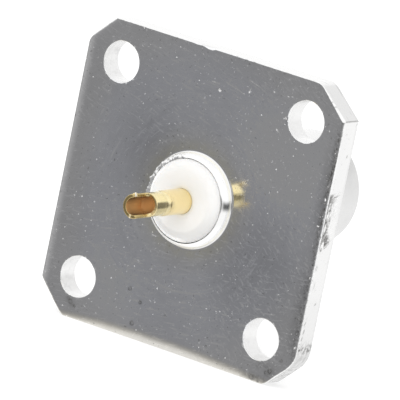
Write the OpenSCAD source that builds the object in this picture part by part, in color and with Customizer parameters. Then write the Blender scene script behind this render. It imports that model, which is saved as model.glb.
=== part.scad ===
// Square-flange coaxial panel jack: a bayonet barrel in front of the flange,
// a short collar with a white insulator behind it, and a gilt solder cup.
//
// Each piece is drawn along its own axis: z = 0 is the flange's rear face,
// +z runs out of the rear towards the solder cup, x and y lie in the flange as
// it is seen from the rear. stand() then turns the whole part so that the axis
// lies along +Y (rear) and the flange stands upright with +Z up.
// All sizes are in millimetres.

/* [Flange] */
// Width of the flange
flange_w = 25.3; // [24.6:0.1:26]
// Height of the flange
flange_h = 25.2; // [24.6:0.1:26]
// Thickness of the flange
flange_t = 2.2; // [1.6:0.1:3]
// Distance between the centres of neighbouring screw holes
hole_pitch = 18.26; // [18:0.01:18.6]
// Diameter of a screw hole
hole_d = 3.44; // [3:0.02:3.6]
// Clipped corner, upper left seen from the rear
clip_tl = 2.2; // [1.5:0.05:3]
// Clipped corner, upper right seen from the rear
clip_tr = 2.45; // [1.5:0.05:3]
// Clipped corner, lower right seen from the rear
clip_br = 2.5; // [1.5:0.05:3]
// Clipped corner, lower left seen from the rear
clip_bl = 2.55; // [1.5:0.05:3]
// How far in from the lower edge the rubbed round starts at mid-span
rub_w = 0.85; // [0.4:0.05:1.4]
// Radius of the rubbed round across the lower edge
rub_r = 2.4; // [1.6:0.1:4]

/* [Rear collar] */
// Outside diameter of the rear collar
collar_d = 7.92; // [7.6:0.02:8.4]
// Height of the collar above the flange's rear face
collar_h = 0.9; // [0.6:0.05:1.2]

/* [Barrel] */
// Outside diameter of the bayonet barrel
barrel_d = 9.65; // [9.6:0.01:9.7]
// Length of the part in front of the flange, up to the mating rim
front_len = 16.2; // [15.4:0.1:17.4]
// Diameter of the shoulder between the flange and the barrel
shoulder_d = 11.4; // [10.4:0.1:12.4]
// Length of the shoulder in front of the flange
shoulder_len = 4.2; // [2:0.1:4.4]
// Bore of the barrel's mouth
mouth_d = 8.13; // [8.1:0.01:8.15]
// Bore of the body behind the mouth, which also seats the insulators
bore_d = 7; // [6.96:0.01:7.04]
// Diameter of a bayonet lug
lug_d = 2; // [1.92:0.02:2.06]
// Distance over the two lugs
over_lugs = 11.02; // [10.98:0.01:11.06]
// Distance from the mating rim to the centre of the lugs
lug_set = 5.23; // [5.18:0.01:5.28]

/* [Insulators] */
// Diameter of the front insulator's nose
nose_d = 4.72; // [4.5:0.02:4.76]
// How far the nose stays behind the mating rim
nose_set = 1.2; // [0.8:0.1:1.8]
// Height of the rear insulator's crown above the flange's rear face
crown_h = 1.46; // [1.2:0.02:1.7]
// Diameter of the flat on the rear insulator's crown
crown_flat_d = 4.9; // [4.4:0.1:5.4]

/* [Centre contact] */
// Diameter of the contact's stem where it leaves the rear insulator
stem_d = 2.12; // [2:0.01:2.4]
// Height of the stem's shoulder above the flange's rear face
stem_h = 4.65; // [3.4:0.05:5]
// Outside diameter of the solder cup
cup_d = 1.99; // [1.9:0.01:2.08]
// Bore of the solder cup
cup_bore = 1.4; // [1.3:0.02:1.6]
// Height of the cup's tip above the flange's rear face
cup_h = 8.47; // [7.6:0.01:9]
// Length of the cut-away side of the cup
cut_len = 2; // [1.4:0.05:2.4]
// How far the cup's bore goes on below the cut
cup_deep = 0.45; // [0.3:0.05:2]
// How far the cut stays from the cup's axis
cut_set = 0.12; // [0:0.02:0.3]
// Direction that the cut-away side faces, from the right side seen from the rear
cut_turn = 20; // [0:1:45]
// Bore of the socket that takes the mating pin
socket_bore = 1.38; // [1.36:0.01:1.4]
// Width of the socket's slits
slit_w = 0.2; // [0.14:0.02:0.22]

/* [Hidden] */
$fn = 96;

// small edge bevels of the flange's rear face, one for each side of the outline,
// starting with the left side and going round by the top
rear_bevel = [0.08, 0.1, 0.07, 0.2, 0.05, 0.15, 0.06, 0.12];
front_bevel = 0.2;
// plan radius that makes the rubbed round fade towards the two lower corners
rub_span = 64;
// the outline sits a little off the centre of its holes
outline_x = 0.05;
outline_y = -0.07;

rim_z = -flange_t - front_len;
rim_round = 0.32;
bore_r = bore_d / 2;
mouth_r = mouth_d / 2;
barrel_r = barrel_d / 2;
collar_r = collar_d / 2;
// the collar is a lip rolled inwards: one arc from its foot to the bore's edge
lip_w = collar_r - bore_r;
lip_round = (collar_h * collar_h + lip_w * lip_w) / (2 * lip_w);
mouth_end = rim_z + 5.0;
taper_end = rim_z + 7.1;
// the seat's front face is the stop for the mating sleeve, and its rear face
// stops the front insulator
seat_z = rim_z + 8.4;
seat_t = 0.6;
seat_r = 3.2;
seat_back = seat_z + seat_t;
join_z = seat_back + 2.6;
insul_gap = 0.02;
insul_r = bore_r - insul_gap;
crown_r = bore_r - 0.07;
crown_edge = collar_h - 0.05;
crown_fall = crown_h - crown_edge;
crown_run = crown_r - crown_flat_d / 2;
crown_round = (crown_run * crown_run + crown_fall * crown_fall) / (2 * crown_fall);
nose_r = nose_d / 2;
nose_z = rim_z + nose_set;
stem_r = stem_d / 2;
cup_r = cup_d / 2;
ring_r = 1.6;
ring_t = 0.6;
socket_r = 1.1;
socket_z = nose_z + 0.3;
socket_deep = 5.2;
slit_len = 4.2;
fit_gap = 0.01;

plated = [0.76, 0.76, 0.75];
white = [0.94, 0.94, 0.91];
gilt = [0.87, 0.7, 0.36];

side_l = outline_x - flange_w / 2;
side_r = outline_x + flange_w / 2;
side_b = outline_y - flange_h / 2;
side_t = outline_y + flange_h / 2;
outline = [
    [side_l, side_b + clip_bl],
    [side_l, side_t - clip_tl],
    [side_l + clip_tl, side_t],
    [side_r - clip_tr, side_t],
    [side_r, side_t - clip_tr],
    [side_r, side_b + clip_br],
    [side_r - clip_br, side_b],
    [side_l + clip_bl, side_b]
];

// turns the drawing frame into the part's frame: z to +Y, y to +Z
module stand() {
    rotate([90, 0, 180]) children();
}

// long diamond bar that takes a 45 degree bevel of width b off the edge p-q
module bevel_bar(p, q, b) {
    along = q - p;
    translate((p + q) / 2)
        rotate([0, 0, atan2(along[1], along[0])])
            rotate([45, 0, 0])
                cube([norm(along) + 2, b * sqrt(2), b * sqrt(2)], center = true);
}

// what the rubbed lower edge has lost: the corner above a large round whose
// line bows downwards, so that it is widest at mid-span
module rubbed_edge() {
    translate([0, side_b + rub_w - rub_span, 0])
        rotate_extrude()
            difference() {
                translate([rub_span - 3, -1.2]) square([3, 2.2]);
                translate([rub_span, -rub_r]) circle(r = rub_r);
            }
}

module flange_plate() {
    difference() {
        translate([0, 0, -flange_t]) linear_extrude(flange_t) polygon(outline);
        for (i = [0 : 7]) {
            p = outline[i];
            q = outline[(i + 1) % 8];
            bevel_bar([p[0], p[1], 0], [q[0], q[1], 0], rear_bevel[i]);
            bevel_bar([p[0], p[1], -flange_t], [q[0], q[1], -flange_t], front_bevel);
        }
        rubbed_edge();
    }
}

// half section of the turned outside: collar, core, shoulder and barrel
module turned_outside() {
    rotate_extrude() {
        translate([0, -flange_t]) square([collar_r, flange_t]);
        intersection() {
            translate([collar_r - lip_round, 0]) circle(r = lip_round);
            translate([0, -0.5]) square([collar_r, collar_h + 0.7]);
        }
        translate([0, -flange_t - shoulder_len]) square([shoulder_d / 2 - 0.3, shoulder_len + 0.5]);
        translate([0, -flange_t - shoulder_len + 0.3]) square([shoulder_d / 2, shoulder_len]);
        polygon([
            [0, -flange_t - shoulder_len], [shoulder_d / 2 - 0.3, -flange_t - shoulder_len],
            [shoulder_d / 2, -flange_t - shoulder_len + 0.3], [0, -flange_t - shoulder_len + 0.3]
        ]);
        translate([0, rim_z + rim_round]) square([barrel_r, front_len - rim_round]);
        translate([0, rim_z]) square([barrel_r - rim_round, front_len]);
        translate([barrel_r - rim_round, rim_z + rim_round]) circle(r = rim_round);
    }
}

// half section of the stepped bore from the mating rim to the collar
module stepped_bore() {
    rotate_extrude()
        polygon([
            [0, rim_z - 1], [mouth_r + 0.28, rim_z - 1], [mouth_r + 0.28, rim_z],
            [mouth_r, rim_z + 0.28], [mouth_r, mouth_end],
            [bore_r, taper_end], [bore_r, seat_z],
            [seat_r, seat_z], [seat_r, seat_back],
            [bore_r, seat_back], [bore_r, collar_h + 1], [0, collar_h + 1]
        ]);
}

module bayonet_lug() {
    translate([barrel_r - 0.5, 0, rim_z + lug_set]) rotate([0, 90, 0]) {
        reach = over_lugs / 2 - barrel_r + 0.5;
        cylinder(d = lug_d, h = reach - 0.12);
        translate([0, 0, reach - 0.12]) cylinder(d1 = lug_d, d2 = lug_d - 0.24, h = 0.12);
    }
}

// one-piece plated body: flange, collar, shoulder, barrel and lugs
module shell() {
    color(plated) stand() difference() {
        union() {
            flange_plate();
            turned_outside();
            bayonet_lug();
            rotate([0, 0, 180]) bayonet_lug();
        }
        stepped_bore();
        for (sx = [-1, 1], sy = [-1, 1])
            translate([sx * hole_pitch / 2, sy * hole_pitch / 2, -flange_t - 1])
                cylinder(d = hole_d, h = flange_t + 2);
    }
}

// white insulator in front: a disc seated in the bore with a nose up the barrel
module front_insulator() {
    color(white) stand() rotate_extrude() difference() {
        union() {
            translate([0, seat_back]) square([insul_r, join_z - seat_back]);
            translate([0, nose_z + 0.25]) square([nose_r, join_z - nose_z - 0.25]);
            translate([0, nose_z]) square([nose_r - 0.25, 1]);
            translate([nose_r - 0.25, nose_z + 0.25]) circle(r = 0.25);
        }
        translate([0, nose_z - 1]) square([socket_r + fit_gap, join_z - nose_z + 2]);
        translate([0, nose_z - 1]) square([socket_r + 0.16, slit_len + 1.9]);
    }
}

// white insulator behind: fills the bore and stands out of the collar with a
// rounded crown
module rear_insulator() {
    color(white) stand() rotate_extrude() difference() {
        union() {
            translate([0, join_z]) square([insul_r, 0.2 - join_z]);
            translate([0, -1]) square([crown_r, 1 + crown_edge]);
            intersection() {
                translate([0, crown_edge - 0.5]) square([crown_r, crown_fall + 0.5]);
                union() {
                    translate([0, crown_edge - 0.5]) square([crown_flat_d / 2, crown_fall + 0.5]);
                    translate([crown_flat_d / 2, crown_h - crown_round]) circle(r = crown_round);
                }
            }
        }
        translate([0, join_z - 1]) square([stem_r + fit_gap, crown_h - join_z + 2]);
        translate([0, join_z - 1]) square([ring_r + 0.03, 1 + ring_t]);
    }
}

// gilt contact: slit socket in front, a ring held between the insulators, a
// plain stem and the solder cup with one side cut away
module centre_contact() {
    color(gilt) stand() difference() {
        rotate_extrude() difference() {
            union() {
                translate([0, socket_z + 0.12]) square([socket_r, join_z - socket_z]);
                polygon([[0, socket_z], [socket_r - 0.12, socket_z], [socket_r, socket_z + 0.12], [0, socket_z + 0.12]]);
                translate([0, join_z]) square([ring_r, ring_t]);
                translate([0, join_z]) square([stem_r, stem_h - 0.14 - join_z]);
                polygon([[0, stem_h - 0.14], [stem_r, stem_h - 0.14], [cup_r, stem_h + 0.12], [0, stem_h + 0.12]]);
                translate([0, stem_h]) square([cup_r, cup_h - stem_h]);
            }
            translate([0, cup_h - cut_len - cup_deep]) square([cup_bore / 2, 6]);
            translate([0, socket_z - 1]) square([socket_bore / 2, socket_deep + 1]);
            polygon([[0, socket_z - 0.01], [socket_bore / 2 + 0.15, socket_z - 0.01], [socket_bore / 2, socket_z + 0.15], [0, socket_z + 0.15]]);
        }
        rotate([0, 0, cut_turn])
            translate([cut_set, -3, cup_h - cut_len]) cube([4, 6, cut_len + 1]);
        for (a = [0, 90]) rotate([0, 0, a + 45])
            translate([-2, -slit_w / 2, socket_z - 1]) cube([4, slit_w, slit_len + 1]);
    }
}

shell();
front_insulator();
rear_insulator();
centre_contact();
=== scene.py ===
import math

import bmesh
import bpy
import numpy as np
from mathutils import Matrix, Vector
from mathutils.geometry import delaunay_2d_cdt


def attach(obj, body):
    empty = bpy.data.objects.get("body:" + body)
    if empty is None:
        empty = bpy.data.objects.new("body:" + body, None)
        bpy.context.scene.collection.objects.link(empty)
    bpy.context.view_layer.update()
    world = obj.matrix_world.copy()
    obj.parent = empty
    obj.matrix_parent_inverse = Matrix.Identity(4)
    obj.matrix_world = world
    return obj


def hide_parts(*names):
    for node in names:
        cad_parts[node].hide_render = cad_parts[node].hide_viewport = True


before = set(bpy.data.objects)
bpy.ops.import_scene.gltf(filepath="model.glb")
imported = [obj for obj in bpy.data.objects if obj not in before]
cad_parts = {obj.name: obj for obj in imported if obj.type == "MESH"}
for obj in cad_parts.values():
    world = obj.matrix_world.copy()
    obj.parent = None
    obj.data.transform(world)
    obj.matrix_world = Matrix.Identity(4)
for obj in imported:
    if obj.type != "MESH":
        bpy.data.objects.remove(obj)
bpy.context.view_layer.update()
scene = bpy.context.scene

# Shapes are worked out in millimetres in the connector's own drawing frame:
# x to the right and y up as the flange is seen from the rear, z along the axis
# towards the solder cup, z = 0 on the flange's rear face. row() turns that into
# the frame of the CAD model, in metres.


def row(p):
    p = np.asarray(p, float)
    return np.stack([-p[:, 0], p[:, 2], p[:, 1]], 1) * 0.001


# ------------------------------------------------------------------ numbers
def smooth(a, b, x):
    t = np.clip((np.asarray(x, float) - a) / (b - a), 0.0, 1.0)
    return t * t * (3 - 2 * t)


def hash3(i, j, k, seed):
    h = (i * 374761 + j * 668265 + k * 144269 + seed * 101390) & 0xFFFFFFFF
    h = ((h ^ (h >> 13)) * 1274126177) & 0xFFFFFFFF
    h = ((h ^ (h >> 15)) * 1103515245) & 0xFFFFFFFF
    return ((h ^ (h >> 16)) & 0xFFFF) / 32767.5 - 1.0


def vnoise(x, y, z=0.0, seed=0):
    """Smooth value noise from -1 to 1."""
    x, y, z = np.broadcast_arrays(np.asarray(x, float), np.asarray(y, float), np.asarray(z, float))
    i, j, k = (np.floor(v).astype(np.int64) for v in (x, y, z))
    f, g, h = x - i, y - j, z - k
    f, g, h = (v * v * v * (v * (v * 6 - 15) + 10) for v in (f, g, h))
    out = 0.0
    for a in (0, 1):
        for b in (0, 1):
            for c in (0, 1):
                w = (f if a else 1 - f) * (g if b else 1 - g) * (h if c else 1 - h)
                out = out + w * hash3(i + a, j + b, k + c, seed)
    return out


def fbm(x, y, z=0.0, seed=0, octaves=3):
    out, amp, tot = 0.0, 1.0, 0.0
    for o in range(octaves):
        s = 2.0 ** o
        out = out + amp * vnoise(np.asarray(x) * s, np.asarray(y) * s, np.asarray(z) * s, seed + o)
        tot += amp
        amp *= 0.5
    return out / tot


def blob(x, y, cx, cy, rx, ry, turn=0.0):
    c, s = math.cos(math.radians(turn)), math.sin(math.radians(turn))
    u = ((x - cx) * c + (y - cy) * s) / rx
    v = (-(x - cx) * s + (y - cy) * c) / ry
    return np.exp(-(u * u + v * v))


# ------------------------------------------------------------------ mesh builder
class Build:
    """Collects points, faces and two values for each point, wear with painted light and glint, and joins what meets."""

    def __init__(self):
        self.p, self.w, self.g, self.f, self.n = [], [], [], [], 0

    def add(self, pts, wear_and_painted_light=None, glint=None):
        pts = np.asarray(pts, float).reshape(-1, 3)
        m = len(pts)
        self.p.append(pts)
        self.w.append(np.zeros(m) if wear_and_painted_light is None else np.broadcast_to(wear_and_painted_light, m).astype(float))
        self.g.append(np.zeros(m) if glint is None else np.broadcast_to(glint, m).astype(float))
        base = self.n
        self.n += m
        return base + np.arange(m)

    def grid(self, idx, wrap=True):
        rows, cols = idx.shape
        for r in range(rows - 1):
            a, b = idx[r].tolist(), idx[r + 1].tolist()
            for c in range(cols if wrap else cols - 1):
                d = (c + 1) % cols
                self.f.append((a[c], a[d], b[d], b[c]))

    def lathe(self, profile, steps, turn=0.0, wear_and_painted_light=None, shift=None, glint=None):
        """Turns a profile of (radius, z) about the axis. A radius of 0 becomes a single point."""
        ang = turn + np.arange(steps) * 2 * math.pi / steps
        rows = []
        for i, (r, z) in enumerate(profile):
            pts = np.stack([r * np.cos(ang), r * np.sin(ang), np.full(steps, z)], 1)
            if shift is not None:
                pts = shift(i, pts)
            rows.append(self.add(pts, None if wear_and_painted_light is None else wear_and_painted_light(i, pts), None if glint is None else glint(i, pts)))
        self.grid(np.array(rows))
        return rows

    def fill(self, flat, lift, wear_and_painted_light=None, glint=None):
        """Triangles between the closed loops of a Flat; lift gives their 3-D places."""
        v2, tri = flat.cut()
        idx = self.add(lift(v2), None if wear_and_painted_light is None else wear_and_painted_light(v2), None if glint is None else glint(v2))
        self.f.extend(map(tuple, idx[tri].tolist()))

    def make(self, name, mat, node, sharp=40.0):
        me = bpy.data.meshes.new(name)
        me.from_pydata(row(np.concatenate(self.p)).tolist(), [], self.f)
        for key, vals in (("wear_and_painted_light", self.w), ("glint", self.g)):
            at = me.attributes.new(key, "FLOAT", "POINT")
            at.data.foreach_set("value", np.concatenate(vals).astype(np.float32))
        bm = bmesh.new()
        bm.from_mesh(me)
        bmesh.ops.remove_doubles(bm, verts=bm.verts, dist=4e-7)
        bmesh.ops.dissolve_degenerate(bm, edges=bm.edges, dist=1e-8)
        loose = [v for v in bm.verts if not v.link_faces]
        bmesh.ops.delete(bm, geom=loose, context="VERTS")
        bmesh.ops.recalc_face_normals(bm, faces=bm.faces)
        bad = sum(1 for e in bm.edges if len(e.link_faces) != 2)
        bm.to_mesh(me)
        bm.free()
        me.polygons.foreach_set("use_smooth", [True] * len(me.polygons))
        me.set_sharp_from_angle(angle=math.radians(sharp))
        me.materials.append(mat)
        o = bpy.data.objects.new(name, me)
        scene.collection.objects.link(o)
        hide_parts(node)
        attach(o, "root")
        print("piece", name, len(me.polygons), "faces, edges not shared by two faces:", bad)
        return o


class Flat:
    """A flat region between closed loops, an outer one first and then its holes, with free points in it."""

    def __init__(self):
        self.pts, self.edges, self.who = [], [], []

    def loop(self, points):
        points = np.asarray(points, float)
        base, m = len(self.pts), len(points)
        self.pts.extend(map(tuple, points.tolist()))
        self.edges.extend([(base + i, base + (i + 1) % m) for i in range(m)])
        self.who.extend([max(self.who, default=-1) + 1] * m)

    def free(self, points):
        points = np.asarray(points, float).reshape(-1, 2).tolist()
        self.pts.extend(map(tuple, points))

    def cut(self):
        res = delaunay_2d_cdt([Vector(v) for v in self.pts], self.edges, [], 1, 1e-7)
        v2 = np.array([list(v) for v in res[0]])
        tri = np.array([list(t) for t in res[2]])
        # holes are round and have no free points in them, so a triangle with
        # all its corners on one hole's loop lies in that hole
        who = np.array([next((self.who[i] for i in ids if i < len(self.who)), -1) for ids in res[3]])[tri]
        hole = (who[:, 0] > 0) & (who[:, 0] == who[:, 1]) & (who[:, 0] == who[:, 2])
        return v2, tri[~hole]


def inside(px, py, poly):
    """Which points lie inside a closed polygon."""
    x0, y0 = poly[:, 0], poly[:, 1]
    x1, y1 = np.roll(x0, -1), np.roll(y0, -1)
    out = np.zeros(len(px), bool)
    for a, b, c, d in zip(x0, y0, x1, y1):
        hit = (b > py) != (d > py)
        with np.errstate(divide="ignore", invalid="ignore"):
            out ^= hit & (px < (c - a) * (py - b) / (d - b) + a)
    return out


def near(px, py, loop):
    """Distance from points to a dense closed loop of points, and the nearest one's index."""
    best = np.full(len(px), 1e9)
    who = np.zeros(len(px), int)
    q = np.stack([px, py], 1)
    for s in range(0, len(q), 2000):
        d2 = ((q[s:s + 2000, None, :] - loop[None, :, :]) ** 2).sum(2)
        who[s:s + 2000] = d2.argmin(1)
        best[s:s + 2000] = np.sqrt(d2.min(1))
    return best, who


# ------------------------------------------------------------------ node helper
class Net:
    def __init__(self, nt):
        self.nt = nt

    def put(self, sock, v):
        if isinstance(v, bpy.types.NodeSocket):
            self.nt.links.new(v, sock)
        else:
            sock.default_value = v

    def math(self, op, *args, clamp=False):
        n = self.nt.nodes.new("ShaderNodeMath")
        n.operation = op
        n.use_clamp = clamp
        for i, v in enumerate(args):
            self.put(n.inputs[i], v)
        return n.outputs[0]

    def add(self, *a):
        out = a[0]
        for v in a[1:]:
            out = self.math("ADD", out, v)
        return out

    def mul(self, *a):
        out = a[0]
        for v in a[1:]:
            out = self.math("MULTIPLY", out, v)
        return out

    def range(self, x, a, b, lo=0.0, hi=1.0, kind="SMOOTHSTEP"):
        n = self.nt.nodes.new("ShaderNodeMapRange")
        n.interpolation_type = kind
        for k, v in (("Value", x), ("From Min", a), ("From Max", b), ("To Min", lo), ("To Max", hi)):
            self.put(n.inputs[k], v)
        return n.outputs["Result"]

    def noise(self, vec, scale, detail=2.0, rough=0.5, warp=0.0):
        n = self.nt.nodes.new("ShaderNodeTexNoise")
        self.put(n.inputs["Vector"], vec)
        for k, v in (("Scale", scale), ("Detail", detail), ("Roughness", rough), ("Distortion", warp)):
            self.put(n.inputs[k], v)
        return n.outputs["Fac"]

    def cells(self, vec, scale, dims="2D"):
        n = self.nt.nodes.new("ShaderNodeTexVoronoi")
        n.voronoi_dimensions = dims
        self.put(n.inputs["Vector"], vec)
        n.inputs["Scale"].default_value = scale
        return n.outputs["Distance"], n.outputs["Color"]

    def comb(self, x, y, z):
        n = self.nt.nodes.new("ShaderNodeCombineXYZ")
        for i, v in enumerate((x, y, z)):
            self.put(n.inputs[i], v)
        return n.outputs[0]

    def sep(self, v):
        n = self.nt.nodes.new("ShaderNodeSeparateXYZ")
        self.put(n.inputs[0], v)
        return n.outputs[0], n.outputs[1], n.outputs[2]

    def vmath(self, op, a, b=None, scale=None):
        n = self.nt.nodes.new("ShaderNodeVectorMath")
        n.operation = op
        self.put(n.inputs[0], a)
        if b is not None:
            self.put(n.inputs[1], b)
        if scale is not None:
            self.put(n.inputs["Scale"], scale)
        return n.outputs["Value"] if op in ("DOT_PRODUCT", "LENGTH", "DISTANCE") else n.outputs["Vector"]

    def mix(self, f, a, b):
        n = self.nt.nodes.new("ShaderNodeMix")
        n.data_type = "RGBA"
        self.put(n.inputs["Factor"], f)
        self.put(n.inputs["A"] if False else n.inputs[6], a)
        self.put(n.inputs[7], b)
        return n.outputs[2]

    def tint(self, col, f):
        """A colour times a number."""
        return self.vmath("SCALE", col, scale=f)

    def attr(self, name):
        n = self.nt.nodes.new("ShaderNodeAttribute")
        n.attribute_name = name
        return n.outputs["Fac"]

    def place(self):
        """Object coordinates in mm in the drawing frame: x, y, z and the radius from the axis."""
        tc = self.nt.nodes.new("ShaderNodeTexCoord")
        mm = self.vmath("SCALE", tc.outputs["Object"], scale=1000.0)
        X, Y, Z = self.sep(mm)
        x = self.mul(X, -1.0)
        r = self.math("SQRT", self.add(self.mul(x, x), self.mul(Z, Z)))
        return mm, x, Z, Y, r

    def spot(self, x, y, cx, cy, rad, soft):
        dx, dy = self.add(x, -cx), self.add(y, -cy)
        d = self.math("SQRT", self.add(self.mul(dx, dx), self.mul(dy, dy)))
        return self.range(d, rad, rad + soft, 1.0, 0.0)

    def bump(self, height, strength, distance, normal=None):
        n = self.nt.nodes.new("ShaderNodeBump")
        n.inputs["Strength"].default_value = strength
        n.inputs["Distance"].default_value = distance
        self.put(n.inputs["Height"], height)
        if normal is not None:
            self.put(n.inputs["Normal"], normal)
        return n.outputs[0]


def new_mat(name):
    m = bpy.data.materials.new(name)
    m.use_nodes = True
    nt = m.node_tree
    return m, Net(nt), nt.nodes["Principled BSDF"]


# ------------------------------------------------------------------ plated metal
m_plate, k, b = new_mat("plated_metal")
mm, x, y, z, r = k.place()
flat = k.comb(x, y, 0.0)
rear = k.mul(k.range(z, -0.25, -0.12), k.range(r, 4.02, 4.2))
wear_and_painted_light, glint = k.attr("wear_and_painted_light"), k.attr("glint")

cloud = k.add(k.noise(mm, 0.23, 2.0, 0.55), -0.5)
mott = k.add(k.noise(mm, 1.5, 4.0, 0.6, 0.4), -0.5)
grain = k.add(k.noise(mm, 9.0, 3.0, 0.6), -0.5)

# light and dark fields of the plate
field = k.add(
    k.mul(k.spot(x, y, 7.2, -4.0, 1.0, 6.0), -0.17),
    k.mul(k.spot(x, y, -4.6, 2.4, 0.8, 5.0), -0.17),
    k.mul(k.spot(x, y, 8.2, 6.0, 1.0, 5.5), 0.13),
    k.mul(k.spot(x, y, -6.5, -9.5, 1.0, 5.0), 0.07),
    k.mul(cloud, 0.16),
    k.mul(mott, 0.10),
)
tone = k.add(1.0, k.mul(field, rear), k.mul(k.mul(cloud, 0.10), k.add(1.0, k.mul(rear, -1.0))))

# turning marks round the collar, in broad soft arcs
arc_in = k.mul(k.range(r, 4.3, 5.3), k.range(r, 11.5, 7.5))
arc_at = k.range(k.noise(k.comb(k.add(x, 9.0), k.add(y, 31.0), 2.0), 0.30, 2.0, 0.5), 0.40, 0.62, 0.12, 1.0)
arcs = k.add(k.noise(k.comb(k.mul(x, 0.34), k.mul(y, 0.34), k.mul(r, 2.0)), 1.0, 3.0, 0.6, 0.35), -0.5)
arcs = k.mul(arcs, arc_in, arc_at, rear)

# short fine scratches in four directions, each in its own patches
patch = k.noise(flat, 0.38, 2.0, 0.5)


def strokes(turn, along, across, seed, low, high):
    c, sn = math.cos(math.radians(turn)), math.sin(math.radians(turn))
    u = k.add(k.mul(x, c * along), k.mul(y, sn * along))
    v = k.add(k.mul(x, -sn * across), k.mul(y, c * across))
    return k.range(k.noise(k.comb(u, v, seed), 1.0, 2.0, 0.5, 0.6), low, high)


lines_x = k.mul(strokes(6, 1.0, 4.8, 3.0, 0.57, 0.72), k.range(y, 1.0, -4.0, 0.25, 1.2))
lines_y = k.mul(strokes(-17, 1.1, 5.2, 7.0, 0.57, 0.72), k.range(y, 2.0, 5.0))
lines_d = k.mul(strokes(-40, 1.6, 5.0, 11.0, 0.545, 0.695), k.range(x, 2.0, 6.0, 0.0, 1.15), k.range(patch, 0.36, 0.50))
lines_e = k.mul(strokes(58, 1.6, 4.8, 23.0, 0.58, 0.73), k.range(patch, 0.56, 0.44, 0.0, 0.8))
rings = k.mul(k.range(k.noise(k.comb(k.mul(x, 0.33), k.mul(y, 0.33), k.mul(r, 6.0)), 1.0, 2.0, 0.5, 0.3), 0.58, 0.74), k.mul(arc_in, arc_at))
scr = k.math("MAXIMUM", k.math("MAXIMUM", lines_x, lines_y), k.math("MAXIMUM", lines_d, lines_e))
scr = k.math("MAXIMUM", scr, rings)


def scratch(x0, y0, x1, y1, half, strength):
    """One long scratch from one place to another, broken up along its length."""
    span = math.hypot(x1 - x0, y1 - y0)
    c, sn = (x1 - x0) / span, (y1 - y0) / span
    u = k.add(k.mul(x, c), k.mul(y, sn), -(x0 * c + y0 * sn))
    v = k.add(k.mul(x, -sn), k.mul(y, c), x0 * sn - y0 * c)
    v = k.add(v, k.range(k.noise(flat, 2.2, 1.0, 0.5), 0.3, 0.7, -0.03, 0.03))
    across = k.range(k.math("ABSOLUTE", v), half, half * 0.35)
    ends = k.mul(k.range(u, -0.06, 0.06), k.range(u, span + 0.06, span - 0.06))
    return k.mul(across, ends, k.range(k.noise(flat, 5.0, 2.0, 0.6), 0.35, 0.65, 0.35 * strength, strength))


for one in (
    (-0.27, 9.96, 0.50, 9.93, 0.08, 3.0), (1.01, 10.24, 3.02, 9.74, 0.08, 2.0), (3.29, 9.92, 3.52, 10.38, 0.08, 4.5), (3.17, 10.97, 4.37, 10.66, 0.08, 2.8),
    (4.37, 10.66, 5.04, 10.32, 0.07, 1.6), (6.52, 7.91, 7.10, 7.39, 0.07, 3.8), (0.48, 9.47, 0.74, 9.35, 0.15, 7.0), (7.14, 8.98, 7.28, 8.80, 0.10, 8.0),
):
    scr = k.math("MAXIMUM", scr, scratch(*one))
scr = k.mul(scr, rear)

# specks of dust in loose clusters, a few larger ones, and small dark pits
flock = k.range(k.noise(flat, 0.45, 2.0, 0.5), 0.40, 0.62, 0.25, 1.0)
fleck = k.mul(k.range(k.noise(flat, 3.6, 2.0, 0.55), 0.64, 0.73), flock, rear)
d1, c1 = k.cells(flat, 0.8)
cr, cg, cb = k.sep(c1)
ragged = k.mul(k.add(k.noise(flat, 8.0, 1.0), -0.5), 0.11)
speck = k.mul(k.range(k.add(d1, ragged), 0.020, 0.055, 1.0, 0.0), k.range(cr, 0.695, 0.735), rear)
dust = k.math("MAXIMUM", k.mul(speck, k.range(cg, 0.0, 1.0, 0.15, 0.72)), k.mul(fleck, k.add(0.31, k.mul(k.spot(x, y, -2.5, -3.0, 1.5, 2.5), 0.2), k.mul(k.spot(x, y, 3.5, -9.0, 1.0, 3.0), 0.1))))
dust = k.mul(dust, k.add(1.0, k.mul(k.spot(x, y, -9.0, 3.0, 2.0, 4.5), -0.6), k.mul(k.spot(x, y, 9.5, -3.5, 2.0, 4.5), -0.5)))
dots = k.range(k.noise(k.comb(k.add(x, 40.0), k.add(y, 17.0), 5.0), 3.0, 2.0, 0.55), 0.365, 0.275)
pit = k.mul(dots, k.range(patch, 0.62, 0.45, 0.4, 1.0), rear)

# dark grit along the right edge, and the rougher barrel with painted shade
grit = k.range(k.add(k.noise(flat, 4.2, 3.0, 0.65), k.mul(k.add(k.noise(flat, 1.1, 1.0), -0.5), 0.4)), 0.50, 0.62)
grit = k.mul(grit, k.range(x, 11.95, 12.5), k.range(x, 12.60, 12.56), k.range(y, 9.7, 8.6), k.range(y, -10.5, -8.5, 0.25, 1.0), rear)
barrel = k.range(z, -2.35, -2.6)
lip = k.range(z, 0.02, 0.10)
ax, ay = k.math("ABSOLUTE", x), k.math("ABSOLUTE", y)
bores = k.mul(k.range(k.add(ax, ay), 21.6, 21.2), k.range(k.math("MAXIMUM", ax, ay), 11.4, 11.1), k.range(r, 6.2, 6.6), k.range(z, -0.04, -0.12), k.range(z, -2.19, -2.14))

# darker strip inside the right edge
dusk = k.mul(k.range(x, 11.2, 12.1), k.range(x, 12.60, 12.46), k.range(y, 9.2, 5.0), k.range(y, -10.5, -8.0))
dusk = k.mul(dusk, k.range(k.math("ABSOLUTE", k.add(y, 0.8)), 1.0, 2.8, 0.25, 1.0), k.range(mott, -0.15, 0.15, 0.7, 1.25), rear)

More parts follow.
